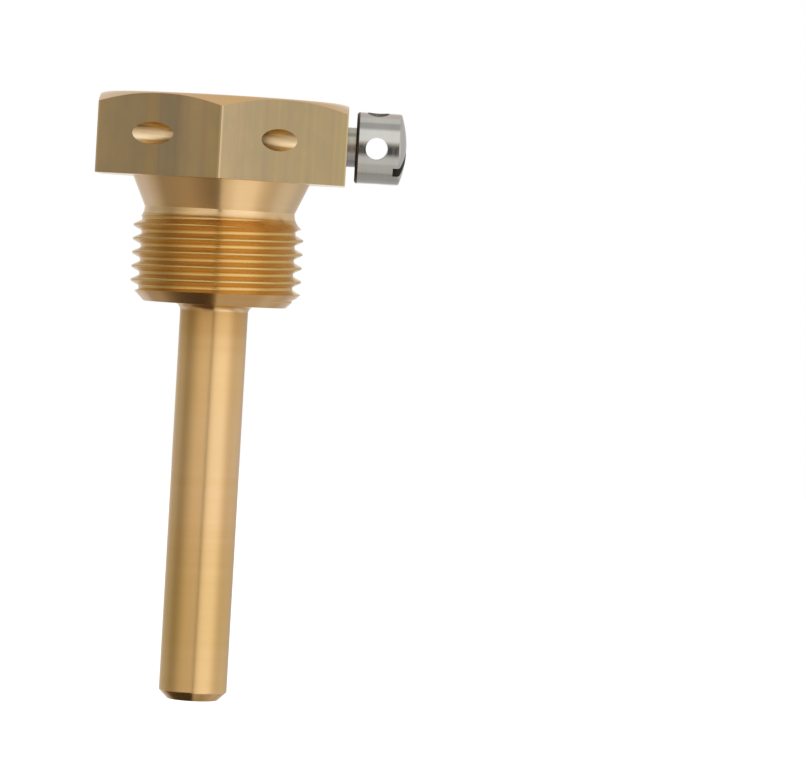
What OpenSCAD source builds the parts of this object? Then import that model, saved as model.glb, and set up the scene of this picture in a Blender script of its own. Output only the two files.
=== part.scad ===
// Brass thermowell with a hexagonal head and a radial clamp screw.
// Head, neck, thread and stem are turned in one piece from hexagonal bar.
// Z runs up along the well, and z = 0 is the hexagon's underside.

/* [Head] */
// Width across the hexagon's flats
hex_af = 24; // [23:0.5:30]
// Height of the hexagon
hex_h = 7.95; // [7:0.05:12]
// Slope of the chamfer round the top, from the horizontal
hex_chamfer_angle = 28; // [15:1:35]
// How far the top's round flat stays inside the hexagon's flats
top_rim_inset = 0.25; // [0.05:0.05:0.5]
// Radius that blends the top's flat into the chamfer
top_rim_r = 3; // [0.5:0.5:5]

/* [Neck] */
// Diameter where the neck's cone meets the hexagon
neck_top_d = 17.2; // [16:0.05:20]
// Diameter of the waist above the thread
waist_d = 14.6; // [13.6:0.05:14.8]
// Length of the neck's cone
neck_cone_l = 2.9; // [2:0.05:3.2]
// Radius of the run-out curve between waist and thread
runout_r = 1.6; // [1.3:0.05:1.8]

/* [Pipe thread] */
// Crest diameter
thread_d = 16.54; // [16.2:0.02:16.7]
// Root diameter
thread_root_d = 14.95; // [14.9:0.01:15.4]
// Distance between crests
thread_pitch = 1.337; // [1.2:0.001:1.4]
// Depth of the thread's lower end below the hexagon
thread_end = 12.12; // [12:0.02:13]
// Width of the 45 degree chamfer at the thread's lower end
thread_chamfer = 1.35; // [0.8:0.05:1.6]

/* [Stem] */
// Depth of the tip below the hexagon
insertion_l = 50.64; // [30:0.02:150]
// Outside diameter of the stem
stem_d = 6.6; // [6.4:0.1:8]
// Radius of the fillet under the thread
stem_fillet_r = 0.75; // [0.2:0.05:1]
// Width of the chamfer at the tip
tip_chamfer = 0.84; // [0.5:0.02:1.2]
// Radius on the edges of that chamfer
tip_edge_r = 0.2; // [0.1:0.05:0.4]

/* [Bores] */
// Diameter of the sensor bore
bore_d = 5.2; // [4:0.1:5.2]
// Thickness of metal left under the bore's drill point
tip_wall = 1; // [0.8:0.1:3]
// Width of the countersink at the bore's mouth
mouth_chamfer = 0.6; // [0.2:0.1:1.5]
// Diameter of the sealing-wire hole across the front corner
wire_hole_d = 2.1; // [1.5:0.05:2.6]
// Height of the sealing-wire hole above the hexagon's underside
wire_hole_z = 3.95; // [3:0.05:5]
// Turn of the sealing-wire hole about the well's axis
wire_hole_turn = -2.75; // [-4:0.25:4]

/* [Clamp screw] */
// Height of the screw's axis above the hexagon's underside
screw_z = 3.88; // [3.5:0.02:4.5]
// Gap between the screw's head and the hexagon
screw_gap = 0.84; // [0.76:0.02:2]
// Outside diameter of the screw's thread
screw_d = 3.9; // [3.8:0.02:3.96]
// Distance between the screw thread's crests
screw_pitch = 0.7; // [0.5:0.05:0.8]
// Length of the screw below its head
screw_l = 10; // [9:0.1:10]
// Diameter of the screw's head
head_d = 6.95; // [6.5:0.05:8]
// Length of the head's straight side
head_l = 4.31; // [4:0.01:6]
// Height of the head's domed end
dome_h = 0.62; // [0.3:0.02:1]
// Diameter of the two cross holes in the head
cross_hole_d = 2.15; // [1.5:0.05:2.3]
// Distance of the cross holes from the head's underside
cross_hole_x = 2.04; // [1.6:0.02:2.2]
// Lean of the upright cross hole, its top towards -Y
upright_hole_lean = 10; // [0:1:15]
// Lean of the level cross hole, its end at -Y downwards
level_hole_lean = 1.5; // [0:0.5:5]
// Width of the driver slot
slot_w = 1; // [0.8:0.1:1.4]
// Depth of the driver slot below the top of the dome
slot_depth = 1.25; // [1:0.05:1.4]

/* [Hidden] */
$fn = 96;
eps = 0.01;                                    // overlap that joins or cuts through
hex_corner_r = hex_af / 2 / cos(30);
top_flat_r = hex_af / 2 - top_rim_inset;       // before its rim is rounded
chamfer_drop = (hex_corner_r - top_flat_r) * tan(hex_chamfer_angle);
drill_point_l = bore_d / 2 / tan(59);          // 118 degree drill point
bore_bottom = -insertion_l + tip_wall + drill_point_l;
waist_l = 0.12;                                // straight length of the waist
runout_z = -neck_cone_l - waist_l;             // where the run-out curve starts
crest_w = 0.2;                                 // flat width left on each crest and root
first_crest_z = -4.82;
groove_count = 5;
wire_hole_y = -hex_af / 2 * cos(30);           // through the middles of both front flats
screw_hole_d = screw_d + 0.1;                  // clear of the screw by 0.05 all round
screw_root_d = screw_d - 1.2 * screw_pitch;
screw_plain_l = 1.6;                           // plain length under the screw's head
screw_crest_w = 0.1;
screw_tip_chamfer = 0.45;
screw_grooves = 10;
seat_x = hex_af / 2 + screw_gap;               // underside of the screw's head
crossing_break = 0.05;                         // breaks the edges where the cross holes meet
head_edge = 0.28;                              // chamfer round the head's underside
slot_turn = -49;                               // the slot lies between the two cross holes
brass = [0.72, 0.55, 0.30];
steel = [0.66, 0.66, 0.65];

// Points on an arc about c, from angle a to angle b.
function arc(c, r, a, b, n = 8) =
    [for (i = [0:n]) c + r * [cos(a + (b - a) * i / n), sin(a + (b - a) * i / n)]];

// Curve from the waist out to the thread's crests.
function runout_points() =
    let (c = [waist_d / 2 + runout_r, runout_z])
    arc(c, runout_r, 180, 180 + acos((c.x - thread_d / 2) / runout_r), 10);

// Fillet in the corner between the thread's end face and the stem.
function fillet_points() =
    arc([stem_d / 2 + stem_fillet_r, -thread_end - stem_fillet_r], stem_fillet_r, 90, 180);

// Tip chamfer with its two edges rounded.
function tip_points() =
    let (r = tip_edge_r, back = r * tan(22.5))
    concat(
        arc([stem_d / 2 - r, -insertion_l + tip_chamfer + back], r, 0, -45, 4),
        arc([stem_d / 2 - tip_chamfer - back, -insertion_l + r], r, -45, -90, 4));

// V grooves with flat roots down the side of a rod, as points from the top down.
function groove_points(crest_r, root_r, pitch, flat, first_z, count) =
    let (slope = pitch / 2 - flat)
    [for (k = [0:count - 1], q = [
        [crest_r, -flat / 2],
        [root_r, -flat / 2 - slope],
        [root_r, -flat * 1.5 - slope],
        [crest_r, -flat * 1.5 - 2 * slope]]) [q.x, q.y + first_z - k * pitch]];

// Half section of everything below the hexagon, with no thread yet.
module blank_section() {
    polygon(concat(
        [[0, eps], [neck_top_d / 2, eps], [neck_top_d / 2, 0], [waist_d / 2, -neck_cone_l]],
        runout_points(),
        [[thread_d / 2, -thread_end + thread_chamfer],
         [thread_d / 2 - thread_chamfer, -thread_end]],
        fillet_points(),
        tip_points(),
        [[0, -insertion_l]]));
}

// Space the thread leaves for metal, as a half section.
module thread_section() {
    polygon(concat(
        [[0, 1], [thread_d, 1], [thread_d, first_crest_z], [thread_d / 2, first_crest_z]],
        groove_points(thread_d / 2, thread_root_d / 2, thread_pitch, crest_w,
            first_crest_z, groove_count),
        [[thread_d, first_crest_z - groove_count * thread_pitch + crest_w / 2],
         [thread_d, -insertion_l - 1], [0, -insertion_l - 1]]));
}

module turned_stem() {
    rotate_extrude() intersection() {
        blank_section();
        thread_section();
    }
}

module hex_head() {
    intersection() {
        rotate([0, 0, 30]) cylinder(r = hex_corner_r, h = hex_h, $fn = 6);
        rotate_extrude() polygon(concat(
            [[0, -eps], [hex_corner_r + 1, -eps], [hex_corner_r + 1, hex_h - chamfer_drop],
             [hex_corner_r, hex_h - chamfer_drop]],
            arc([top_flat_r - top_rim_r * tan(hex_chamfer_angle / 2), hex_h - top_rim_r],
                top_rim_r, 90 - hex_chamfer_angle, 90, 5),
            [[0, hex_h]]));
    }
}

module sensor_bore() {
    rotate_extrude() polygon([
        [0, bore_bottom - drill_point_l], [bore_d / 2, bore_bottom],
        [bore_d / 2, hex_h - mouth_chamfer], [bore_d / 2 + mouth_chamfer + eps, hex_h + eps],
        [0, hex_h + eps]]);
}

module wire_hole() {
    translate([0, wire_hole_y, wire_hole_z]) rotate([0, 90, wire_hole_turn])
        cylinder(d = wire_hole_d, h = 2 * hex_af, center = true);
}

module screw_hole() {
    translate([0, 0, screw_z]) rotate([0, 90, 0]) cylinder(d = screw_hole_d, h = hex_af);
}

module thermowell_body() {
    color(brass) difference() {
        union() {
            hex_head();
            turned_stem();
        }
        sensor_bore();
        wire_hole();
        screw_hole();
    }
}

// Half section of the screw, its tip at -screw_l and its head's underside at 0.
module screw_section() {
    dome_r = ((head_d / 2) ^ 2 + dome_h ^ 2) / 2 / dome_h;
    dome_half = asin(head_d / 2 / dome_r);
    polygon(concat(
        arc([0, head_l + dome_h - dome_r], dome_r, 90, 90 - dome_half, 10),
        [[head_d / 2, head_edge], [head_d / 2 - head_edge, 0], [screw_d / 2, 0]],
        groove_points(screw_d / 2, screw_root_d / 2, screw_pitch, screw_crest_w,
            -screw_plain_l, screw_grooves),
        [[screw_d / 2, -screw_l + screw_tip_chamfer],
         [screw_d / 2 - screw_tip_chamfer, -screw_l], [0, -screw_l]]));
}

module clamp_screw() {
    slot_floor = head_l + dome_h - slot_depth;
    color(steel) translate([seat_x, 0, screw_z]) difference() {
        rotate([0, 90, 0]) rotate_extrude() screw_section();
        for (lean = [upright_hole_lean, 90 + level_hole_lean])
            translate([cross_hole_x, 0, 0]) rotate([lean, 0, 0])
                cylinder(d = cross_hole_d, h = 2 * head_d, center = true);
        translate([cross_hole_x, 0, 0]) sphere(d = cross_hole_d + 2 * crossing_break);
        rotate([slot_turn, 0, 0]) translate([slot_floor, -slot_w / 2, -head_d])
            cube([slot_depth + 1, slot_w, 2 * head_d]);
    }
}

thermowell_body();
clamp_screw();
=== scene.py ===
from math import acos, asin, cos, degrees, pi, radians, sin, tan
import bpy
from mathutils import Matrix, Vector


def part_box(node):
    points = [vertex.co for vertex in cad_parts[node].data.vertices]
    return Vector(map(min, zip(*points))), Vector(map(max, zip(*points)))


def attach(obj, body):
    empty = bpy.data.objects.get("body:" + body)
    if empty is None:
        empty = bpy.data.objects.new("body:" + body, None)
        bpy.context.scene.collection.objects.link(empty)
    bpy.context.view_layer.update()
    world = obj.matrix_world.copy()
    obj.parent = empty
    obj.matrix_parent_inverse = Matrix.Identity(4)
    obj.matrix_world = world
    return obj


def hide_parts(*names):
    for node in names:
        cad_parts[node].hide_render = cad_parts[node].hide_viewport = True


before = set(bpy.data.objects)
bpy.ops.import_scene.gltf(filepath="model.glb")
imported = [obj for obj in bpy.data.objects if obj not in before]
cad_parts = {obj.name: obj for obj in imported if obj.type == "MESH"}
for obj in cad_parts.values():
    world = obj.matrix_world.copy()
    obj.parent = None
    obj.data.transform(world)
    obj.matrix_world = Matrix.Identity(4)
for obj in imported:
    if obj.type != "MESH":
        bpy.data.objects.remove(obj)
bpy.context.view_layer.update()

ops = bpy.ops
scene = bpy.context.scene
scene.view_settings.view_transform = "Standard"

# Pieces are drawn in millimetres and brought down to metres when they are finished.
toMetres = 0.001
bodyLow, bodyHigh = [[c / toMetres for c in corner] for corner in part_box("thermowell_body")]
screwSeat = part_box("clamp_screw")[0][0] / toMetres + 10  # the underside of its head
print("frame loaded: well", [round(c, 2) for c in bodyLow + bodyHigh])


def deselectAll():
    if bpy.context.object and bpy.context.object.mode != "OBJECT":
        ops.object.mode_set(mode="OBJECT")
    ops.object.select_all(action="DESELECT")


def named(name):
    piece = bpy.context.object
    piece.name = piece.data.name = name
    return piece


def makeActive(piece):
    deselectAll()
    piece.select_set(True)
    bpy.context.view_layer.objects.active = piece


def selectEdges(piece, wanted):
    ops.object.mode_set(mode="EDIT")
    ops.mesh.select_mode(type="EDGE")
    ops.mesh.select_all(action="DESELECT")
    ops.object.mode_set(mode="OBJECT")
    for edge in piece.data.edges:
        edge.select = wanted(*[piece.data.vertices[v].co for v in edge.vertices])
    ops.object.mode_set(mode="EDIT")


def turned(name, rings, sides):
    # A disc is pulled up ring by ring, as on a lathe: rings are (radius, height).
    deselectAll()
    radius, height = rings[0]
    ops.mesh.primitive_circle_add(vertices=sides, radius=radius, fill_type="NGON", location=(0, 0, height))
    piece = named(name)
    ops.object.transform_apply(location=True, rotation=True, scale=True)
    ops.object.mode_set(mode="EDIT")
    ops.mesh.select_all(action="SELECT")
    for nextRadius, nextHeight in rings[1:]:
        ops.mesh.extrude_region_move(TRANSFORM_OT_translate={"value": (0, 0, nextHeight - height)})
        if nextRadius != radius:
            grow = nextRadius / radius
            ops.transform.resize(value=(grow, grow, 1), center_override=(0, 0, nextHeight))
        radius, height = nextRadius, nextHeight
    ops.mesh.select_all(action="SELECT")
    ops.mesh.normals_make_consistent(inside=False)
    ops.object.mode_set(mode="OBJECT")
    return piece


def arcRings(centre, radius, fromAngle, toAngle, steps):
    # Rings along an arc in the half section, its centre given as (radius, height).
    angles = [fromAngle + (toAngle - fromAngle) * i / steps for i in range(steps + 1)]
    return [(centre[0] + radius * cos(radians(a)), centre[1] + radius * sin(radians(a))) for a in angles]


def finishModifiers(piece):
    makeActive(piece)
    for modifier in list(piece.modifiers):
        ops.object.modifier_apply(modifier=modifier.name)


def combine(piece, other, operation):
    cut = piece.modifiers.new(operation.title(), "BOOLEAN")
    cut.object = other
    cut.operation = operation
    cut.solver = "EXACT"
    finishModifiers(piece)
    bpy.data.objects.remove(other, do_unlink=True)


def rod(name, radius, length, centre, turn=(0, 0, 0), sides=64):
    deselectAll()
    ops.mesh.primitive_cylinder_add(
        vertices=sides, radius=radius, depth=length, location=centre, rotation=turn)
    piece = named(name)
    ops.object.transform_apply(location=True, rotation=True, scale=True)
    return piece


def threadCutter(name, thread):
    # One flat section of the groove, with its root and the crests beside it rounded.
    pitch, crest, root = thread["pitch"], thread["crestRadius"], thread["rootRadius"]
    depth = crest - root
    flank = depth * tan(radians(thread["flankAngle"]))
    rootHalf = (pitch - thread["crestFlat"]) / 2 - flank
    mouthHalf = rootHalf + flank
    deselectAll()
    ops.mesh.primitive_plane_add(size=1, location=(0, 0, 0), rotation=(pi / 2, 0, 0))
    piece = named(name)
    ops.object.transform_apply(location=True, rotation=True, scale=True)
    # the plane's four corners become the flanks
    for vertex in piece.data.vertices:
        outer = vertex.co.x > 0
        half = mouthHalf if outer else rootHalf
        vertex.co = (crest if outer else root, 0, half if vertex.co.z > 0 else -half)
    selectEdges(piece, lambda a, b: a.x > crest - 0.01 and b.x > crest - 0.01)
    # the mouth flares to just short of the next turn, so that the crests can be rounded
    flare, gap = 0.03, 0.01
    ops.mesh.extrude_region_move(TRANSFORM_OT_translate={"value": (flare, 0, 0)})
    ops.transform.resize(value=(1, 1, (pitch / 2 - gap) / mouthHalf), center_override=(crest + flare, 0, 0))
    ops.mesh.extrude_region_move(TRANSFORM_OT_translate={"value": (thread["clearance"], 0, 0)})
    ops.mesh.select_all(action="SELECT")
    ops.mesh.dissolve_faces()
    ops.mesh.select_mode(type="VERT")
    for radius, rounding in ((crest, thread["crestRound"]), (root, thread["rootRound"])):
        ops.mesh.select_all(action="DESELECT")
        ops.object.mode_set(mode="OBJECT")
        for vertex in piece.data.vertices:
            vertex.select = abs(vertex.co.x - radius) < 0.001
        ops.object.mode_set(mode="EDIT")
        ops.mesh.bevel(offset=rounding, segments=4, affect="VERTICES")
    ops.mesh.select_all(action="SELECT")
    ops.mesh.delete(type="ONLY_FACE")
    ops.object.mode_set(mode="OBJECT")
    # wound down the rod from its first turn
    turns = thread["turns"]
    piece.location.z = thread["startHeight"]
    piece.rotation_euler.z = radians(thread["startAngle"])
    makeActive(piece)
    ops.object.transform_apply(location=True, rotation=True, scale=True)
    wind = piece.modifiers.new("Wind", "SCREW")
    wind.axis = "Z"
    wind.angle = 2 * pi
    wind.screw_offset = pitch
    wind.iterations = turns
    wind.steps = wind.render_steps = thread["steps"]
    wind.use_merge_vertices = False
    finishModifiers(piece)
    ops.object.mode_set(mode="EDIT")
    ops.mesh.select_all(action="SELECT")
    ops.mesh.fill_holes(sides=0)
    ops.mesh.select_all(action="SELECT")
    ops.mesh.normals_make_consistent(inside=False)
    ops.object.mode_set(mode="OBJECT")
    return piece


mergeDistance = 0.0005  # all in millimetres and square millimetres
bodyFaceArea = 2        # a face above this keeps its own normals on every side
smallShare = 0.35       # a face below this share of its neighbour is an edge face
cornerAngle = 4


def facesByEdge(mesh):
    facesAt = {}
    for face in mesh.polygons:
        for key in face.edge_keys:
            facesAt.setdefault(key, []).append(face)
    return facesAt


def finishPiece(piece, smoothAngle, largeArea):
    makeActive(piece)
    ops.object.mode_set(mode="EDIT")
    ops.mesh.select_all(action="SELECT")
    ops.mesh.remove_doubles(threshold=mergeDistance)
    ops.mesh.normals_make_consistent(inside=False)
    ops.object.mode_set(mode="OBJECT")
    # large faces keep their own normals: their borders with the small edge faces are not smoothed
    borders = set()
    for face in piece.data.polygons:
        if face.area > bodyFaceArea:
            borders.update(face.edge_keys)
    for key, faces in facesByEdge(piece.data).items():
        small, large = sorted(face.area for face in faces)[::len(faces) - 1 or 1][:2]
        bent = faces[0].normal.dot(faces[-1].normal) < cos(radians(cornerAngle))
        if bent and large > largeArea and small < large * smallShare:
            borders.add(key)
    piece.scale = (toMetres,) * 3
    ops.object.transform_apply(location=True, rotation=True, scale=True)
    ops.object.shade_smooth_by_angle(angle=radians(smoothAngle))
    ops.object.mode_set(mode="EDIT")
    ops.mesh.select_mode(type="EDGE")
    ops.mesh.select_all(action="DESELECT")
    ops.object.mode_set(mode="OBJECT")
    for edge in piece.data.edges:
        edge.select = edge.key in borders
    ops.object.mode_set(mode="EDIT")
    ops.mesh.mark_sharp()
    ops.object.mode_set(mode="OBJECT")


well = {
    "flats": 24.0, "headHeight": bodyHigh[2], "topFlatRadius": 11.75, "topSlope": 28, "rimRound": 3.0,
    "edgeRound": 0.1,
    "neckTop": 8.6, "neckLength": 2.9, "waist": 7.3, "waistLength": 0.12, "runoutRadius": 1.6,
    "threadEnd": -12.12, "endChamfer": 1.35, "endRound": 0.08,
    "stem": 3.3, "stemFillet": 0.75, "tip": bodyLow[2], "tipChamfer": 0.84, "tipRound": 0.2,
    "bore": 2.6, "tipWall": 1.0, "mouthChamfer": 0.6,
    "wireHole": 1.05, "wireHoleHeight": 3.95, "wireHoleTurn": -2.75,
    "screwHole": 2.0, "screwHeight": 3.88, "sides": 160,
}
pipeThread = {
    "pitch": 1.337, "crestRadius": 8.27, "rootRadius": 7.475, "flankAngle": 27.5, "crestFlat": 0.2,
    "crestRound": 0.09, "rootRound": 0.11, "clearance": 0.4,
    "startHeight": -14.18, "startAngle": 0, "turns": 8, "steps": 96,
}


def breakEdges(piece, offset, wanted):
    # Rounds the edges whose two faces meet at more than 20 degrees, where wanted says so.
    makeActive(piece)
    mesh = piece.data
    sharp = set()
    for key, faces in facesByEdge(mesh).items():
        if len(faces) == 2 and faces[0].normal.dot(faces[1].normal) < cos(radians(20)):
            if wanted(*[mesh.vertices[v].co for v in key]):
                sharp.add(key)
    ops.object.mode_set(mode="EDIT")
    ops.mesh.select_mode(type="EDGE")
    ops.mesh.select_all(action="DESELECT")
    ops.object.mode_set(mode="OBJECT")
    for edge in mesh.edges:
        edge.select = edge.key in sharp
    ops.object.mode_set(mode="EDIT")
    ops.mesh.bevel(offset=offset, segments=3, affect="EDGES", clamp_overlap=True)
    ops.object.mode_set(mode="OBJECT")


def onHead(a, b):
    outside = max(a.xy.length, b.xy.length) > well["bore"] + 0.3
    atNeck = max(a.z, b.z) < 0.01 and max(a.xy.length, b.xy.length) < well["neckTop"] + 0.05
    return min(a.z, b.z) > -0.01 and outside and not atNeck


def buildWell():
    size = well
    # hexagonal bar, its top turned off on a slope
    spare, corner, head = 1, size["flats"] / 2 / cos(pi / 6), size["headHeight"]
    deselectAll()
    ops.mesh.primitive_cylinder_add(
        vertices=6, radius=corner, depth=head + spare, location=(0, 0, (head + spare) / 2))
    piece = named("thermowell")
    ops.object.transform_apply(location=True, rotation=True, scale=True)
    slope, rim, rimRound = size["topSlope"], size["topFlatRadius"], size["rimRound"]
    outer = corner + spare
    rings = [(outer, -spare), (outer, head - (outer - rim) * tan(radians(slope)))]
    rimCentre = (rim - rimRound * tan(radians(slope / 2)), head - rimRound)
    rings += arcRings(rimCentre, rimRound, 90 - slope, 90, 6)
    combine(piece, turned("topSlope", rings, 192), "INTERSECT")

    # neck, thread blank and stem, from the tip up
    crest, stem, tip, tipRound = pipeThread["crestRadius"], size["stem"], size["tip"], size["tipRound"]
    tipBack = tipRound * tan(radians(22.5))
    fillet, end = size["stemFillet"], size["threadEnd"]
    runout = size["runoutRadius"]
    runoutCentre = (size["waist"] + runout, -size["neckLength"] - size["waistLength"])
    runoutEnd = 180 + degrees(acos((runoutCentre[0] - crest) / runout))
    rings = [(0.6, tip), (stem - size["tipChamfer"] - tipBack - 0.3, tip)]
    rings += arcRings((stem - size["tipChamfer"] - tipBack, tip + tipRound), tipRound, -90, -45, 4)
    rings += arcRings((stem - tipRound, tip + size["tipChamfer"] + tipBack), tipRound, -45, 0, 4)
    rings += [(stem, tip + 12), (stem, tip + 24)]
    rings += arcRings((stem + fillet, end - fillet), fillet, 180, 90, 8)
    chamfer, chamferRound = size["endChamfer"], size["endRound"]
    rings += arcRings((crest - chamfer - chamferRound * tan(radians(22.5)), end + chamferRound),
                      chamferRound, -90, -45, 2)
    rings += [(crest, end + chamfer)]
    rings += arcRings(runoutCentre, runout, runoutEnd, 180, 10)
    rings += [(size["waist"], -size["neckLength"]), (size["neckTop"], 0), (size["neckTop"], 0.4)]
    shank = turned("turnedShank", rings, size["sides"])
    combine(piece, shank, "UNION")

    # bore with its drill point and countersunk mouth
    bore, top = size["bore"], size["headHeight"]
    pointHeight = size["tip"] + size["tipWall"]
    drilled = turned("bore", [
        (0.02, pointHeight), (bore, pointHeight + bore / tan(radians(59))),
        (bore, top - size["mouthChamfer"]), (bore + size["mouthChamfer"] + 1, top + 1)], 96)
    combine(piece, drilled, "DIFFERENCE")
    wireY = -size["flats"] / 2 * cos(pi / 6)
    combine(piece, rod("wireHole", size["wireHole"], 40, (0, wireY, size["wireHoleHeight"]),
                       (0, pi / 2, radians(size["wireHoleTurn"]))), "DIFFERENCE")
    combine(piece, rod("screwHole", size["screwHole"], 12, (8, 0, size["screwHeight"]), (0, pi / 2, 0)),
            "DIFFERENCE")
    print("well: blank ready,", len(piece.data.polygons), "faces")

    # break the head's sharp edges
    breakEdges(piece, size["edgeRound"], onHead)
    print("well: edges broken,", len(piece.data.polygons), "faces")

    combine(piece, threadCutter("pipeGroove", pipeThread), "DIFFERENCE")
    print("well: thread cut,", len(piece.data.polygons), "faces")
    return piece


wellPiece = buildWell()
finishPiece(wellPiece, 28, 0.15)
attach(wellPiece, "well")
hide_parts("thermowell_body")


screw = {
    "seat": screwSeat, "height": 3.88, "length": 10, "shank": 1.95, "tipChamfer": 0.45,
    "neckLength": 1.2, "neck": 1.93, "head": 3.475, "headLength": 4.31, "domeHeight": 0.62,
    "seatRound": 0.28, "domeEdge": 0.12, "crossHole": 1.075, "crossHoleHeight": 2.04,
    "uprightHoleLean": 10, "levelHoleLean": 1.5,
    "slotWidth": 1.0, "slotDepth": 1.25, "slotTurn": -49, "edgeRound": 0.07, "sides": 128,
}
screwThread = {
    "pitch": 0.7, "crestRadius": 1.95, "rootRadius": 1.53, "flankAngle": 30, "crestFlat": 0.09,
    "crestRound": 0.035, "rootRound": 0.04, "clearance": 0.3,
    "startHeight": -10.7, "startAngle": 0, "turns": 13, "steps": 48,
}


def buildScrew():
    size = screw
    head, topEdge = size["head"], size["headLength"]
    domeRadius = (head ** 2 + size["domeHeight"] ** 2) / 2 / size["domeHeight"]
    domeCentre = (0, topEdge + size["domeHeight"] - domeRadius)
    domeStart = 90 - degrees(asin((head - size["domeEdge"]) / domeRadius))
    rings = [(0.4, -size["length"]), (size["shank"] - size["tipChamfer"], -size["length"]),
             (size["shank"], -size["length"] + size["tipChamfer"]), (size["shank"], -size["neckLength"]),
             (size["neck"], -size["neckLength"] + 0.1), (size["neck"], 0)]
    rings += arcRings((head - size["seatRound"], size["seatRound"]), size["seatRound"], -80, 0, 5)
    rings += [(head, topEdge - size["domeEdge"])]
    rings += arcRings(domeCentre, domeRadius, domeStart, 88, 12)
    piece = turned("clampScrew", rings, size["sides"])
    reach = 20
    holeHeight = size["crossHoleHeight"]
    for name, turn in (("uprightHole", (0, pi / 2, radians(size["uprightHoleLean"]))),
                       ("levelHole", (pi / 2, 0, radians(size["levelHoleLean"])))):
        combine(piece, rod(name, size["crossHole"], reach, (0, 0, holeHeight), turn), "DIFFERENCE")
    slotFloor = topEdge + size["domeHeight"] - size["slotDepth"]
    deselectAll()
    ops.mesh.primitive_cube_add(
        size=1, location=(0, 0, slotFloor + 1), rotation=(0, 0, radians(size["slotTurn"])),
        scale=(reach, size["slotWidth"], 2))
    slotTool = named("slotTool")
    ops.object.transform_apply(location=True, rotation=True, scale=True)
    combine(piece, slotTool, "DIFFERENCE")
    breakEdges(piece, size["edgeRound"], lambda a, b: min(a.z, b.z) > 0.6)
    combine(piece, threadCutter("screwGroove", screwThread), "DIFFERENCE")
    print("screw: thread cut,", len(piece.data.polygons), "faces")
    # laid along +X and set against the well
    makeActive(piece)
    piece.rotation_euler = (0, pi / 2, 0)
    piece.location = (size["seat"], 0, size["height"])
    ops.object.transform_apply(location=True, rotation=True, scale=True)
    return piece


screwPiece = buildScrew()
finishPiece(screwPiece, 28, 0.04)
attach(screwPiece, "screw")
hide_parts("clamp_screw")


# Materials. Effects that several finishes share are node groups.

def newGroup(name, inputs, outputs):
    group = bpy.data.node_groups.new(name, "ShaderNodeTree")
    for label, kind, value in inputs:
        socket = group.interface.new_socket(label, in_out="INPUT", socket_type=kind)
        if value is not None:
            socket.default_value = value
    for label, kind in outputs:
        group.interface.new_socket(label, in_out="OUTPUT", socket_type=kind)
    return group, group.nodes.new("NodeGroupInput"), group.nodes.new("NodeGroupOutput")


def addNode(tree, kind, settings=None, **values):
    node = tree.nodes.new(kind)
    for key, value in (settings or {}).items():
        setattr(node, key, value)
    for label, value in values.items():
        socket = node.inputs[label.replace("_", " ")]
        if hasattr(value, "links"):
            tree.links.new(value, socket)
        else:
            socket.default_value = value
    return node


def mathNode(tree, operation, a, b=None, clamp=False):
    node = tree.nodes.new("ShaderNodeMath")
    node.operation, node.use_clamp = operation, clamp
    for index, value in enumerate((a, b)):
        if value is None:
            continue
        if hasattr(value, "links"):
            tree.links.new(value, node.inputs[index])
        else:
            node.inputs[index].default_value = value
    return node.outputs[0]


def rampNode(tree, factor, stops, interpolation="EASE"):
    node = tree.nodes.new("ShaderNodeValToRGB")
    node.color_ramp.interpolation = interpolation
    elements = node.color_ramp.elements
    while len(elements) < len(stops):
        elements.new(0.5)
    for element, (position, colour) in zip(elements, stops):
        element.position = position
        element.color = (*colour, 1) if len(colour) == 3 else colour
    tree.links.new(factor, node.inputs["Fac"])
    return node.outputs["Color"]


def mixColour(tree, factor, a, b, blend="MIX"):
    node = tree.nodes.new("ShaderNodeMix")
    node.data_type, node.blend_type = "RGBA", blend
    for socket, value in ((node.inputs[0], factor), (node.inputs[6], a), (node.inputs[7], b)):
        if hasattr(value, "links"):
            tree.links.new(value, socket)
        else:
            socket.default_value = (*value, 1) if isinstance(value, tuple) and len(value) == 3 else value
    return node.outputs[2]


def buildLineGroup():
    # Fine lines along one coordinate, strong and faint ones mixed, as a lathe or a die leaves them.
    group, inside, outside = newGroup(
        "machineLines",
        [("Across", "NodeSocketFloat", 0), ("Along", "NodeSocketFloat", 0),
         ("Lines per mm", "NodeSocketFloat", 6), ("Length", "NodeSocketFloat", 0.1)],
        [("Height", "NodeSocketFloat"), ("Tone", "NodeSocketFloat")])
    across = mathNode(group, "MULTIPLY", inside.outputs["Across"], inside.outputs["Lines per mm"])
    along = mathNode(group, "MULTIPLY", inside.outputs["Along"], inside.outputs["Length"])
    place = addNode(group, "ShaderNodeCombineXYZ", X=across, Y=along)
    fine = addNode(group, "ShaderNodeTexNoise", {"noise_dimensions": "2D"},
                   Vector=place.outputs[0], Scale=1.0, Detail=3.0, Roughness=0.6)
    broad = addNode(group, "ShaderNodeTexNoise", {"noise_dimensions": "2D"},
                    Vector=place.outputs[0], Scale=0.17, Detail=2.0, Roughness=0.5)
    group.links.new(fine.outputs["Fac"], outside.inputs["Height"])
    group.links.new(broad.outputs["Fac"], outside.inputs["Tone"])
    return group


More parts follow.
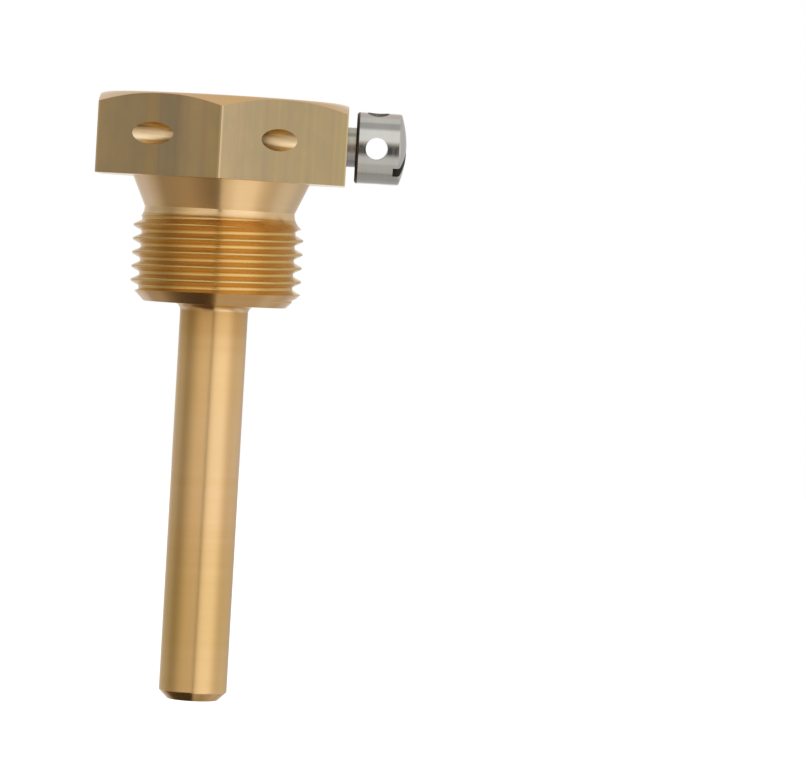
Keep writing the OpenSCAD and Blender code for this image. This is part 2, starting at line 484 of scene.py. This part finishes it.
def buildPatchGroup():
    # Soft clouds, drawn out along the axis, for the drift in tone of handled metal.
    group, inside, outside = newGroup(
        "softPatches",
        [("Place", "NodeSocketVector", None), ("Size", "NodeSocketFloat", 5),
         ("Stretch", "NodeSocketFloat", 2)],
        [("Mask", "NodeSocketFloat")])
    tall = mathNode(group, "DIVIDE", 1.0, inside.outputs["Stretch"])
    squash = addNode(group, "ShaderNodeCombineXYZ", X=1.0, Y=1.0, Z=tall)
    place = addNode(group, "ShaderNodeVectorMath", {"operation": "MULTIPLY"})
    group.links.new(inside.outputs["Place"], place.inputs[0])
    group.links.new(squash.outputs[0], place.inputs[1])
    scale = mathNode(group, "DIVIDE", 1.0, inside.outputs["Size"])
    clouds = addNode(group, "ShaderNodeTexNoise", Vector=place.outputs[0], Scale=scale, Detail=3.0,
                     Roughness=0.55)
    mask = addNode(group, "ShaderNodeMapRange", Value=clouds.outputs["Fac"])
    mask.inputs["From Min"].default_value, mask.inputs["From Max"].default_value = 0.38, 0.66
    group.links.new(mask.outputs[0], outside.inputs["Mask"])
    return group


lineGroup, patchGroup = buildLineGroup(), buildPatchGroup()


def placeGroup(tree, group, **values):
    node = tree.nodes.new("ShaderNodeGroup")
    node.node_tree = group
    for label, value in values.items():
        socket = node.inputs[label.replace("_", " ")]
        if hasattr(value, "links"):
            tree.links.new(value, socket)
        else:
            socket.default_value = value
    return node


def fromAxis(tree, first, second):
    return mathNode(tree, "SQRT", mathNode(tree, "ADD", mathNode(tree, "MULTIPLY", first, first),
                                           mathNode(tree, "MULTIPLY", second, second)))


def stepNode(tree, value, start, end):
    node = addNode(tree, "ShaderNodeMapRange", {"interpolation_type": "SMOOTHSTEP"}, Value=value)
    node.inputs["From Min"].default_value, node.inputs["From Max"].default_value = start, end
    return node.outputs[0]


def metalMaterial(name, finish):
    material = bpy.data.materials.new(name)
    material.use_nodes = True
    tree = material.node_tree
    shader = tree.nodes["Principled BSDF"]
    shader.inputs["Metallic"].default_value = 1
    shader.inputs["Anisotropic"].default_value = finish["anisotropy"]
    shader.inputs["Anisotropic Rotation"].default_value = 0.25
    coordinates = tree.nodes.new("ShaderNodeTexCoord").outputs["Object"]
    inMm = addNode(tree, "ShaderNodeVectorMath", {"operation": "SCALE"}, Scale=1 / toMetres)
    tree.links.new(coordinates, inMm.inputs[0])
    axes = addNode(tree, "ShaderNodeSeparateXYZ", Vector=inMm.outputs[0])
    x, y, z = axes.outputs
    level = None
    if finish["lines"] == "drawn":
        # straight up the bar
        across, along = mathNode(tree, "ADD", mathNode(tree, "MULTIPLY", x, 1.7), y), z
    elif finish["lines"] == "turned":
        across, along = mathNode(tree, "ADD", fromAxis(tree, x, y), z), mathNode(tree, "ARCTAN2", y, x)
    elif finish["lines"] == "drilled":
        level = mathNode(tree, "SUBTRACT", z, well["wireHoleHeight"])
        across, along = mathNode(tree, "ADD", level, mathNode(tree, "MULTIPLY", x, 0.12)), x
    else:
        level = mathNode(tree, "SUBTRACT", z, screw["height"])
        across = mathNode(tree, "ADD", fromAxis(tree, y, level), x)
        along = mathNode(tree, "ARCTAN2", level, y)
    lines = placeGroup(tree, lineGroup, Across=across, Along=along,
                       Lines_per_mm=finish["linesPerMm"], Length=finish["lineLength"])
    colour = rampNode(tree, lines.outputs["Tone"],
                      [(0.3, finish["dark"]), (0.5, finish["colour"]), (0.7, finish["light"])])
    patches = placeGroup(tree, patchGroup, Place=inMm.outputs[0], Size=finish["patchSize"],
                         Stretch=finish["patchStretch"])
    patchShare = mathNode(tree, "MULTIPLY", patches.outputs["Mask"], finish["patchShare"])
    colour = mixColour(tree, patchShare, colour, finish["patchColour"])
    if "cornerHighlightColour" in finish:
        # the bar's corners are painted paler: a painted highlight along the corner edges
        ragged = mathNode(tree, "MULTIPLY", lines.outputs["Height"], 0.06)
        highlightMask = stepNode(tree, mathNode(tree, "ADD", fromAxis(tree, x, y), ragged),
                          finish["cornerHighlightFrom"] + 0.03, finish["cornerHighlightTo"] + 0.03)
        colour = mixColour(tree, highlightMask, colour, finish["cornerHighlightColour"])
    if "toneAndShadeBands" in finish:
        # a slow change of tone from one side of the surface to the other: painted shade on the stem under the
        # thread and towards the top and bottom of the holes' walls, painted reflection round the screw's
        # shank, and a change of tone across the hex flats
        bandPlace = {"drawn": x, "turned": z}.get(finish["lines"]) or level
        share = addNode(tree, "ShaderNodeMapRange", Value=bandPlace)
        share.inputs["From Min"].default_value = -finish["bandReach"]
        share.inputs["From Max"].default_value = finish["bandReach"]
        toneAndShadeBands = rampNode(tree, share.outputs[0], [(0.5 + place / finish["bandReach"] / 2, tone)
                                                  for place, tone in finish["toneAndShadeBands"]])
        colour = mixColour(tree, 1.0, colour, toneAndShadeBands, "MULTIPLY")
    if "rootColour" in finish:
        # the thread's colour shifts towards the root colour deeper in the groove
        depth = stepNode(tree, fromAxis(tree, x, y),
                         pipeThread["crestRadius"] - 0.05, pipeThread["rootRadius"] + 0.1)
        colour = mixColour(tree, depth, colour, finish["rootColour"])
    tree.links.new(colour, shader.inputs["Base Color"])
    rough = addNode(tree, "ShaderNodeMapRange", Value=lines.outputs["Height"], To_Min=finish["roughLow"],
                    To_Max=finish["roughHigh"])
    rough.inputs["From Min"].default_value = 0.3
    rough.inputs["From Max"].default_value = 0.7
    tree.links.new(rough.outputs[0], shader.inputs["Roughness"])
    bump = addNode(tree, "ShaderNodeBump", Height=lines.outputs["Height"], Strength=finish["bump"],
                   Distance=finish["bumpDepth"] * toMetres)
    tree.links.new(bump.outputs[0], shader.inputs["Normal"])
    return material


finishes = {
    "drawnBrass": {
        "lines": "drawn", "linesPerMm": 5, "lineLength": 0.05, "anisotropy": 0.0,
        "colour": (0.555, 0.425, 0.235), "dark": (0.53, 0.39, 0.235), "light": (0.57, 0.455, 0.235),
        "patchColour": (0.47, 0.385, 0.235), "patchSize": 2.2, "patchStretch": 1.5, "patchShare": 0.6,
        "bandReach": 13,
        "toneAndShadeBands": [(-12, (1.06, 1.04, 1.08)), (-9.8, (0.95, 0.96, 1.01)), (-7.7, (0.92, 0.93, 1.0)),
                  (-6.7, (0.98, 0.95, 0.88)), (-5.7, (0.87, 0.88, 0.97)), (-4.7, (0.80, 0.82, 0.95)),
                  (-2.4, (1.1, 1.07, 1.08)), (-0.3, (1.02, 1.0, 0.98)), (2, (0.95, 0.93, 0.90)),
                  (5, (0.86, 0.85, 0.80)), (12, (0.86, 0.86, 0.80))],
        # paler towards the hex corners: painted highlight
        "cornerHighlightColour": (0.74, 0.59, 0.34), "cornerHighlightFrom": 13.72, "cornerHighlightTo": 13.84,
        "roughLow": 0.32, "roughHigh": 0.42, "bump": 0.25, "bumpDepth": 0.008},
    # the rounded hex edges in a paler brass: a painted highlight along them
    "wornBrass": {
        "lines": "drawn", "linesPerMm": 3, "lineLength": 0.5, "anisotropy": 0.0,
        "colour": (0.75, 0.60, 0.35), "dark": (0.68, 0.53, 0.30), "light": (0.80, 0.65, 0.40),
        "patchColour": (0.68, 0.50, 0.31), "patchSize": 1.5, "patchStretch": 1, "patchShare": 0.6,
        "roughLow": 0.38, "roughHigh": 0.46, "bump": 0.1, "bumpDepth": 0.004},
    "turnedBrass": {
        "lines": "turned", "linesPerMm": 6, "lineLength": 0.3, "anisotropy": 0.85,
        "colour": (0.86, 0.585, 0.285), "dark": (0.85, 0.57, 0.27), "light": (0.87, 0.60, 0.30),
        "patchColour": (0.83, 0.56, 0.24), "patchSize": 5, "patchStretch": 2.5, "patchShare": 0.6,
        "roughLow": 0.255, "roughHigh": 0.265, "bump": 0.0, "bumpDepth": 0.004},
    "stemBrass": {
        "lines": "turned", "linesPerMm": 6, "lineLength": 0.3, "anisotropy": 0.6,
        "colour": (0.865, 0.59, 0.285), "dark": (0.85, 0.575, 0.27), "light": (0.88, 0.605, 0.30),
        "patchColour": (0.83, 0.56, 0.24), "patchSize": 5, "patchStretch": 2.5, "patchShare": 0.6,
        # the bands darken the stem just under the thread, painted shade from the thread above, and shift its
        # tone a little further down
        "bandReach": 52,
        "toneAndShadeBands": [(-50, (0.96, 0.96, 0.90)), (-42.5, (0.92, 0.915, 0.80)), (-36.7, (0.94, 0.93, 0.85)),
                  (-31, (1.0, 1.0, 1.03)), (-25, (1.0, 1.02, 1.08)), (-18, (1.0, 1.0, 1.0)),
                  (-13, (0.84, 0.78, 0.64))],
        "roughLow": 0.31, "roughHigh": 0.33, "bump": 0.0, "bumpDepth": 0.004},
    # the turned brass made paler on the waist under the neck: painted light
    "waistBrass": {
        "lines": "turned", "linesPerMm": 6, "lineLength": 0.3, "anisotropy": 0.85,
        "colour": (0.93, 0.68, 0.38), "dark": (0.92, 0.67, 0.37), "light": (0.94, 0.69, 0.39),
        "patchColour": (0.91, 0.66, 0.35), "patchSize": 5, "patchStretch": 2.5, "patchShare": 0.6,
        "roughLow": 0.255, "roughHigh": 0.265, "bump": 0.0, "bumpDepth": 0.004},
    "threadBrass": {
        "lines": "turned", "linesPerMm": 5, "lineLength": 0.3, "anisotropy": 0.8,
        "colour": (0.775, 0.525, 0.205), "dark": (0.755, 0.505, 0.19), "light": (0.79, 0.54, 0.22),
        "patchColour": (0.75, 0.50, 0.18), "patchSize": 4, "patchStretch": 1, "patchShare": 0.5,
        "rootColour": (0.78, 0.52, 0.195),
        "roughLow": 0.24, "roughHigh": 0.3, "bump": 0.2, "bumpDepth": 0.006},
    # inside the drilled holes: a paler brass that paints light into them, with painted shade towards the top
    # and bottom of their walls
    "drilledBrass": {
        "lines": "drilled", "linesPerMm": 5, "lineLength": 0.35, "anisotropy": 0.0,
        "colour": (0.95, 0.76, 0.47), "dark": (0.58, 0.41, 0.19), "light": (1.0, 0.85, 0.58),
        "patchColour": (0.85, 0.64, 0.36), "patchSize": 1.5, "patchStretch": 0.5, "patchShare": 0.4,
        "bandReach": 1.1,
        "toneAndShadeBands": [(-1.1, (0.66, 0.58, 0.38)), (-0.75, (0.8, 0.74, 0.58)), (-0.5, (1.0, 0.97, 0.94)),
                  (-0.1, (1.0, 1.0, 1.0)), (0.15, (1.0, 0.95, 0.92)), (0.5, (0.95, 0.88, 0.8)),
                  (0.68, (0.66, 0.55, 0.36)), (1.1, (0.62, 0.49, 0.26))],
        "roughLow": 0.3, "roughHigh": 0.42, "bump": 0.5, "bumpDepth": 0.02},
    "platedSteel": {
        "lines": "turnedAcross", "linesPerMm": 4, "lineLength": 0.4, "anisotropy": 0.0,
        "colour": (0.62, 0.62, 0.585), "dark": (0.595, 0.595, 0.56), "light": (0.635, 0.635, 0.60),
        "patchColour": (0.59, 0.60, 0.575), "patchSize": 1.6, "patchStretch": 1, "patchShare": 0.7,
        "roughLow": 0.1, "roughHigh": 0.14, "bump": 0.03, "bumpDepth": 0.002},
    "threadSteel": {
        "lines": "turnedAcross", "linesPerMm": 4, "lineLength": 0.4, "anisotropy": 0.0,
        "colour": (0.43, 0.41, 0.36), "dark": (0.39, 0.37, 0.32), "light": (0.46, 0.44, 0.39),
        "patchColour": (0.36, 0.34, 0.32), "patchSize": 1.2, "patchStretch": 1, "patchShare": 0.5,
        # round the shank: lighter and bluer towards its top and bottom, darker just below its middle: painted
        # reflection
        "bandReach": 2,
        "toneAndShadeBands": [(-2, (1.15, 1.3, 1.7)), (-1.2, (1.1, 1.15, 1.35)), (-0.75, (1.0, 1.0, 1.1)),
                  (-0.4, (0.8, 0.75, 0.75)), (-0.1, (1.1, 1.05, 1.0)), (0.6, (1.1, 1.08, 1.0)),
                  (1.1, (1.15, 1.3, 1.2)), (2, (1.3, 1.45, 1.4))],
        "roughLow": 0.18, "roughHigh": 0.26, "bump": 0.1, "bumpDepth": 0.003},
    "drilledSteel": {
        "lines": "turnedAcross", "linesPerMm": 5, "lineLength": 0.4, "anisotropy": 0.0,
        "colour": (0.60, 0.61, 0.54), "dark": (0.54, 0.55, 0.48), "light": (0.65, 0.66, 0.59),
        "patchColour": (0.56, 0.57, 0.50), "patchSize": 1.2, "patchStretch": 1, "patchShare": 0.5,
        "roughLow": 0.35, "roughHigh": 0.45, "bump": 0.1, "bumpDepth": 0.003},
    # the slot's steel, much darker than the rest of the screw
    "sawnSteel": {
        "lines": "turnedAcross", "linesPerMm": 5, "lineLength": 0.4, "anisotropy": 0.0,
        "colour": (0.27, 0.265, 0.235), "dark": (0.22, 0.215, 0.19), "light": (0.31, 0.305, 0.27),
        "patchColour": (0.24, 0.24, 0.21), "patchSize": 1.2, "patchStretch": 1, "patchShare": 0.5,
        "roughLow": 0.35, "roughHigh": 0.45, "bump": 0.1, "bumpDepth": 0.003},
    # the head's rounding beside the well in near-black steel: painted shade, the dark reflection of the
    # narrow gap
    "darkEdge": {
        "lines": "turnedAcross", "linesPerMm": 4, "lineLength": 0.4, "anisotropy": 0.0,
        "colour": (0.12, 0.10, 0.085), "dark": (0.08, 0.065, 0.055), "light": (0.16, 0.14, 0.12),
        "patchColour": (0.10, 0.085, 0.07), "patchSize": 1.2, "patchStretch": 1, "patchShare": 0.5,
        "roughLow": 0.35, "roughHigh": 0.45, "bump": 0.1, "bumpDepth": 0.003},
}
metals = {name: metalMaterial(name, finish) for name, finish in finishes.items()}


def giveMaterial(piece, material, wanted=None):
    piece.data.materials.append(material)
    slotIndex = len(piece.data.materials) - 1
    if wanted:
        for face in piece.data.polygons:
            if wanted(face):
                face.material_index = slotIndex


def onHexFlat(face):
    distance = well["flats"] / 2 * toMetres
    for turn in range(6):
        outward = Vector((cos(turn * pi / 3), sin(turn * pi / 3), 0))
        if face.normal.dot(outward) > 0.9 and abs(face.center.dot(outward) - distance) < 0.15 * toMetres:
            return face.center.z > 0
    return False


def wellPlace(face):
    # its distance from the well's axis, and its height
    return face.center.xy.length / toMetres, face.center.z / toMetres


def onHexEdge(face):
    radius, height = wellPlace(face)
    outside = radius > well["topFlatRadius"] + 0.1 and height > -0.02
    return outside and -0.97 < face.normal.z < 0.82 and not onHexFlat(face)


def onThread(face):
    radius, height = wellPlace(face)
    inReach = well["waist"] - 0.05 < radius < pipeThread["crestRadius"] + 0.1
    onChamfer = abs(face.normal.z + sin(pi / 4)) < 0.03
    return inReach and well["threadEnd"] < height < -3.5 and not onChamfer


def onStem(face):
    radius, height = wellPlace(face)
    inReach = well["bore"] + 0.1 < radius < well["stem"] + 0.02
    return inReach and well["tip"] + 0.9 < height < well["threadEnd"]


def onWaist(face):
    radius, height = wellPlace(face)
    return -3.6 < height < -well["neckLength"] and well["waist"] - 0.1 < radius < well["waist"] + 0.4


def inDrilledHole(face):
    centre = face.center / toMetres
    if centre.z < 0.3 or centre.z > well["headHeight"] - 0.3 or onHexFlat(face):
        return False
    wireLine = Vector((cos(radians(well["wireHoleTurn"])), sin(radians(well["wireHoleTurn"])), 0))
    wirePlace = Vector((0, -well["flats"] / 2 * cos(pi / 6), well["wireHoleHeight"]))
    fromWire = (centre - wirePlace).cross(wireLine).length
    fromScrew = Vector((centre.y, centre.z - well["screwHeight"])).length
    return fromWire < well["wireHole"] + 0.03 or (fromScrew < well["screwHole"] + 0.03 and centre.x > 0)


def screwPlace(point):
    # along the screw's axis from its seat, and across it
    place = point / toMetres
    return place.x - screw["seat"], Vector((place.y, place.z - screw["height"])).length


def onShank(face):
    along, away = screwPlace(face.center)
    return along < 0.02 and away < screw["shank"] + 0.05


def underHead(face):
    along, away = screwPlace(face.center)
    return -0.02 < along < screw["seatRound"] + 0.02 and away > screw["shank"] + 0.05 and face.normal.x < -0.1


def insideHead(face):
    along, away = screwPlace(face.center)
    return 0.5 < along < 3.3 and away < screw["head"] - 0.06


def inSlot(face):
    along, away = screwPlace(face.center)
    slotFloor = screw["headLength"] + screw["domeHeight"] - screw["slotDepth"]
    onFloor = along < slotFloor + 0.05 and away < screw["head"] - 0.06
    return slotFloor - 0.05 < along and (onFloor or face.normal.x < 0.2 and away < screw["head"] - 0.06)


giveMaterial(wellPiece, metals["turnedBrass"])
giveMaterial(wellPiece, metals["drawnBrass"], onHexFlat)
# painted highlight on the rounded hex edges
giveMaterial(wellPiece, metals["wornBrass"], onHexEdge)
giveMaterial(wellPiece, metals["stemBrass"], onStem)
# painted light: a paler copy of the turned brass on the waist
giveMaterial(wellPiece, metals["waistBrass"], onWaist)
giveMaterial(wellPiece, metals["threadBrass"], onThread)
# painted light and painted shade inside the drilled holes
giveMaterial(wellPiece, metals["drilledBrass"], inDrilledHole)
giveMaterial(screwPiece, metals["platedSteel"])
giveMaterial(screwPiece, metals["threadSteel"], onShank)
giveMaterial(screwPiece, metals["drilledSteel"], insideHead)
giveMaterial(screwPiece, metals["sawnSteel"], inSlot)
# painted shade on the head's rounding beside the well
giveMaterial(screwPiece, metals["darkEdge"], underHead)
print("finishes placed")


# Studio: a pale tent whose panels differ by direction, a pale floor, and the camera.
studio = {
    "floorHeight": -0.12, "floorSize": 4.0, "floorColour": (0.86, 0.86, 0.85), "floorGlow": 0.55,
    # brightness round the tent: degrees to the right of the camera, colour; at eye level first
    "level": [(-180, (0.75, 0.75, 0.75)), (-162, (0.68, 0.68, 0.68)), (-145, (0.57, 0.56, 0.56)),
              (-128, (0.47, 0.45, 0.44)), (-106, (0.44, 0.42, 0.36)), (-89, (0.335, 0.30, 0.235)),
              (-74, (0.345, 0.30, 0.23)), (-60, (0.48, 0.43, 0.34)), (-46, (0.64, 0.57, 0.47)),
              (-32, (0.77, 0.70, 0.62)), (-8, (0.80, 0.73, 0.67)), (0, (0.82, 0.76, 0.70)),
              (9, (0.92, 0.87, 0.84)), (22, (1.07, 1.05, 1.10)), (50, (1.12, 1.11, 1.16)),
              (62, (0.98, 0.94, 0.94)), (75, (0.78, 0.72, 0.68)), (90, (0.69, 0.645, 0.60)),
              (125, (0.66, 0.63, 0.62)), (145, (0.59, 0.57, 0.57)), (162, (0.54, 0.53, 0.53)),
              (180, (0.75, 0.75, 0.75))],
    # a little down, half way down and close to straight down
    "dip": [(-180, (0.85, 0.85, 0.85)), (-160, (0.60, 0.60, 0.66)), (-136, (0.62, 0.66, 0.86)),
            (-116, (0.56, 0.56, 0.66)), (-100, (0.38, 0.35, 0.31)), (-75, (0.34, 0.30, 0.24)),
            (-46, (0.60, 0.53, 0.44)), (-12, (0.70, 0.62, 0.52)), (-7, (0.80, 0.75, 0.70)),
            (22, (1.04, 1.02, 1.05)), (57, (1.04, 1.02, 1.05)), (75, (0.72, 0.69, 0.68)),
            (90, (0.56, 0.54, 0.55)), (104, (0.68, 0.74, 0.92)), (120, (0.70, 0.76, 0.94)),
            (138, (0.52, 0.55, 0.65)), (160, (0.52, 0.51, 0.54)), (180, (0.85, 0.85, 0.85))],
    "low": [(-180, (0.5, 0.49, 0.48)), (-150, (0.36, 0.30, 0.27)), (-134, (0.36, 0.31, 0.29)),
            (-116, (0.48, 0.50, 0.58)), (-100, (0.28, 0.265, 0.265)), (-40, (0.32, 0.27, 0.21)),
            (-12, (0.32, 0.27, 0.21)), (-7, (0.72, 0.70, 0.67)), (8, (0.78, 0.76, 0.74)),
            (16, (0.89, 0.88, 0.89)), (30, (1.13, 1.16, 1.27)), (57, (1.06, 1.07, 1.15)),
            (70, (0.70, 0.67, 0.66)), (88, (0.52, 0.49, 0.49)), (104, (0.70, 0.74, 0.90)),
            (120, (0.66, 0.66, 0.72)), (145, (0.45, 0.38, 0.34)), (180, (0.5, 0.49, 0.48))],
    "deep": [(-180, (0.47, 0.45, 0.44)), (-145, (0.26, 0.21, 0.17)), (-118, (0.15, 0.11, 0.08)),
             (-12, (0.15, 0.11, 0.08)), (-7, (0.64, 0.61, 0.57)), (40, (0.62, 0.58, 0.53)),
             (90, (0.38, 0.30, 0.21)), (110, (0.60, 0.51, 0.41)), (130, (0.36, 0.29, 0.22)),
             (150, (0.45, 0.41, 0.38)), (180, (0.45, 0.43, 0.42))],
    # overhead, nearer and then right above
    "high": [(-180, (0.70, 0.62, 0.58)), (-126, (0.68, 0.74, 0.92)), (-90, (0.50, 0.53, 0.62)),
             (-60, (0.84, 0.80, 0.76)), (-35, (1.0, 0.97, 0.93)), (-15, (1.0, 0.97, 0.94)),
             (30, (1.05, 1.05, 1.05)), (75, (0.76, 0.72, 0.68)), (120, (0.60, 0.56, 0.54)),
             (180, (0.70, 0.62, 0.58))],
    "above": [(-180, (0.78, 0.77, 0.73)), (-90, (0.58, 0.55, 0.52)), (0, (0.5, 0.49, 0.48)),
              (90, (0.6, 0.58, 0.56)), (180, (0.78, 0.77, 0.73))],
    # where one of these gives way to the next, in degrees up from level
    "steps": [("dip", -7, -15), ("low", -25, -33), ("deep", -47, -57), ("high", 14, 28), ("above", 56, 70)],
    # the dark of the camera: its middle, and from where to where it fades in to either side and in height
    "cameraShade": (0.025, 0.022, 0.016), "cameraBearing": 1.5, "cameraHeight": -5,
    "cameraWide": (4.2, 1.9), "cameraTall": (31, 8),
    # the backdrop behind the object, in the same way
    "backdropWide": (170, 179), "backdropTall": (25, 12),
    # dark cards below the object, seen only in the metal: left, right, front and back edges
    "cards": {
        "wideCard": {"edges": (-0.125, 0.0015, -0.23, 0.045), "height": -0.1, "near": (0.052, 0.034, 0.02),
                     "far": (0.37, 0.31, 0.25), "fade": (0.058, 0.115)},
        "tipCard": {"edges": (0.0002, 0.0106, -0.005, 0.012), "height": -0.075, "near": (0.32, 0.26, 0.18),
                    "far": (0.32, 0.26, 0.18), "fade": (0.058, 0.115)},
    },
}


def buildWorld():
    world = bpy.data.worlds.new("studioTent")
    scene.world = world
    world.use_nodes = True
    tree = world.node_tree
    tree.nodes.clear()
    direction = tree.nodes.new("ShaderNodeTexCoord").outputs["Generated"]
    axes = addNode(tree, "ShaderNodeSeparateXYZ", Vector=direction)
    x, y, z = axes.outputs
    inDegrees = 180 / pi
    bearing = mathNode(tree, "MULTIPLY", mathNode(tree, "ARCTAN2", x, mathNode(tree, "MULTIPLY", y, -1)),
                       inDegrees)
    height = mathNode(tree, "MULTIPLY", mathNode(tree, "ARCSINE", z), inDegrees)
    around = mathNode(tree, "ADD", mathNode(tree, "DIVIDE", bearing, 360), 0.5)
    layers = {part: rampNode(tree, around, [((angle + 180) / 360, colour) for angle, colour in studio[part]],
                             "LINEAR")
              for part in ("level", "dip", "low", "deep", "high", "above")}
    tent = layers["level"]
    for part, start, end in studio["steps"]:
        tent = mixColour(tree, stepNode(tree, height, start, end), tent, layers[part])
    aside = mathNode(tree, "ABSOLUTE", mathNode(tree, "SUBTRACT", bearing, studio["cameraBearing"]))
    upDown = mathNode(tree, "ABSOLUTE", mathNode(tree, "SUBTRACT", height, studio["cameraHeight"]))
    shade = mathNode(tree, "MULTIPLY", stepNode(tree, aside, *studio["cameraWide"]),
                     stepNode(tree, upDown, *studio["cameraTall"]))
    tent = mixColour(tree, shade, tent, studio["cameraShade"])
    light = addNode(tree, "ShaderNodeBackground", Color=tent, Strength=1.0)
    white = addNode(tree, "ShaderNodeBackground", Color=(1, 1, 1, 1), Strength=1.0)
    # the white backdrop: seen directly, through anything clear, and by metal where it stands behind
    rays = tree.nodes.new("ShaderNodeLightPath")
    behind = mathNode(tree, "MULTIPLY",
                      stepNode(tree, mathNode(tree, "ABSOLUTE", bearing), *studio["backdropWide"]),
                      stepNode(tree, mathNode(tree, "ABSOLUTE", height), *studio["backdropTall"]))
    seen = mathNode(tree, "MULTIPLY", rays.outputs["Is Glossy Ray"], behind)
    seen = mathNode(tree, "ADD", seen, rays.outputs["Is Camera Ray"])
    seen = mathNode(tree, "ADD", seen, rays.outputs["Is Transmission Ray"], clamp=True)
    mix = tree.nodes.new("ShaderNodeMixShader")
    tree.links.new(seen, mix.inputs[0])
    tree.links.new(light.outputs[0], mix.inputs[1])
    tree.links.new(white.outputs[0], mix.inputs[2])
    output = tree.nodes.new("ShaderNodeOutputWorld")
    tree.links.new(mix.outputs[0], output.inputs["Surface"])


def buildFloor():
    deselectAll()
    ops.mesh.primitive_plane_add(size=studio["floorSize"], location=(0, 0, studio["floorHeight"]))
    floor = named("studioFloor")
    ops.object.transform_apply(location=True, rotation=True, scale=True)
    material = bpy.data.materials.new("paleFloor")
    material.use_nodes = True
    tree = material.node_tree
    shader = tree.nodes["Principled BSDF"]
    shader.inputs["Base Color"].default_value = (*studio["floorColour"], 1)
    shader.inputs["Roughness"].default_value = 0.9
    shader.inputs["Specular IOR Level"].default_value = 0.1
    rays = tree.nodes.new("ShaderNodeLightPath")
    glow = addNode(tree, "ShaderNodeEmission", Color=(1, 1, 1, 1), Strength=studio["floorGlow"])
    lit = tree.nodes.new("ShaderNodeAddShader")
    tree.links.new(shader.outputs[0], lit.inputs[0])
    tree.links.new(glow.outputs[0], lit.inputs[1])
    mix = tree.nodes.new("ShaderNodeMixShader")
    seen = mathNode(tree, "ADD", rays.outputs["Is Camera Ray"], rays.outputs["Is Glossy Ray"])
    seen = mathNode(tree, "ADD", seen, rays.outputs["Is Transmission Ray"])
    tree.links.new(seen, mix.inputs[0])
    tree.links.new(shader.outputs[0], mix.inputs[1])
    tree.links.new(lit.outputs[0], mix.inputs[2])
    tree.links.new(mix.outputs[0], tree.nodes["Material Output"].inputs["Surface"])
    floor.data.materials.append(material)
    floor.visible_glossy = False


def buildCard(name, card):
    left, right, front, back = card["edges"]
    deselectAll()
    ops.mesh.primitive_plane_add(size=1, location=((left + right) / 2, (front + back) / 2, card["height"]))
    piece = named(name)
    piece.scale = (right - left, back - front, 1)
    ops.object.transform_apply(location=True, rotation=True, scale=True)
    material = bpy.data.materials.new(name + "Tone")
    material.use_nodes = True
    tree = material.node_tree
    tree.nodes.remove(tree.nodes["Principled BSDF"])
    coordinates = tree.nodes.new("ShaderNodeTexCoord").outputs["Object"]
    axes = addNode(tree, "ShaderNodeSeparateXYZ", Vector=coordinates)
    # darkest along its right edge and behind the object
    forward = mathNode(tree, "MINIMUM", axes.outputs[1], 0)
    away = stepNode(tree, fromAxis(tree, mathNode(tree, "MULTIPLY", axes.outputs[0], 1.35),
                                   mathNode(tree, "MULTIPLY", forward, 0.78)), *card["fade"])
    tone = mixColour(tree, away, card["near"], card["far"])
    glow = addNode(tree, "ShaderNodeEmission", Color=tone, Strength=1.0)
    tree.links.new(glow.outputs[0], tree.nodes["Material Output"].inputs["Surface"])
    piece.data.materials.append(material)
    piece.visible_camera = piece.visible_diffuse = piece.visible_shadow = False
    piece.visible_transmission = False


cameraSetting = {"place": (0.01146, -0.48637, -0.00545), "aimRight": 0.01879, "aimHeight": -0.0193,
                 "roll": 3.304, "lens": 223.3}


def buildCamera():
    place = Vector(cameraSetting["place"])
    towardAxis = Vector((-place.x, -place.y, 0)).normalized()
    aim = towardAxis.cross(Vector((0, 0, 1))) * cameraSetting["aimRight"]
    aim.z = cameraSetting["aimHeight"]
    look = (aim - place).normalized()
    level = look.cross(Vector((0, 0, 1))).normalized()
    upright = level.cross(look)
    roll = radians(cameraSetting["roll"])
    right = level * cos(roll) + upright * sin(roll)
    up = upright * cos(roll) - level * sin(roll)
    data = bpy.data.cameras.new("studioCamera")
    data.lens, data.sensor_width = cameraSetting["lens"], 36
    data.clip_start, data.clip_end = 0.01, 20
    camera = bpy.data.objects.new("studioCamera", data)
    scene.collection.objects.link(camera)
    turn = Matrix((right, up, -look)).transposed().to_4x4()
    camera.matrix_world = Matrix.Translation(place) @ turn
    scene.camera = camera


buildWorld()
buildFloor()
for cardName, card in studio["cards"].items():
    buildCard(cardName, card)
buildCamera()
print("studio ready")
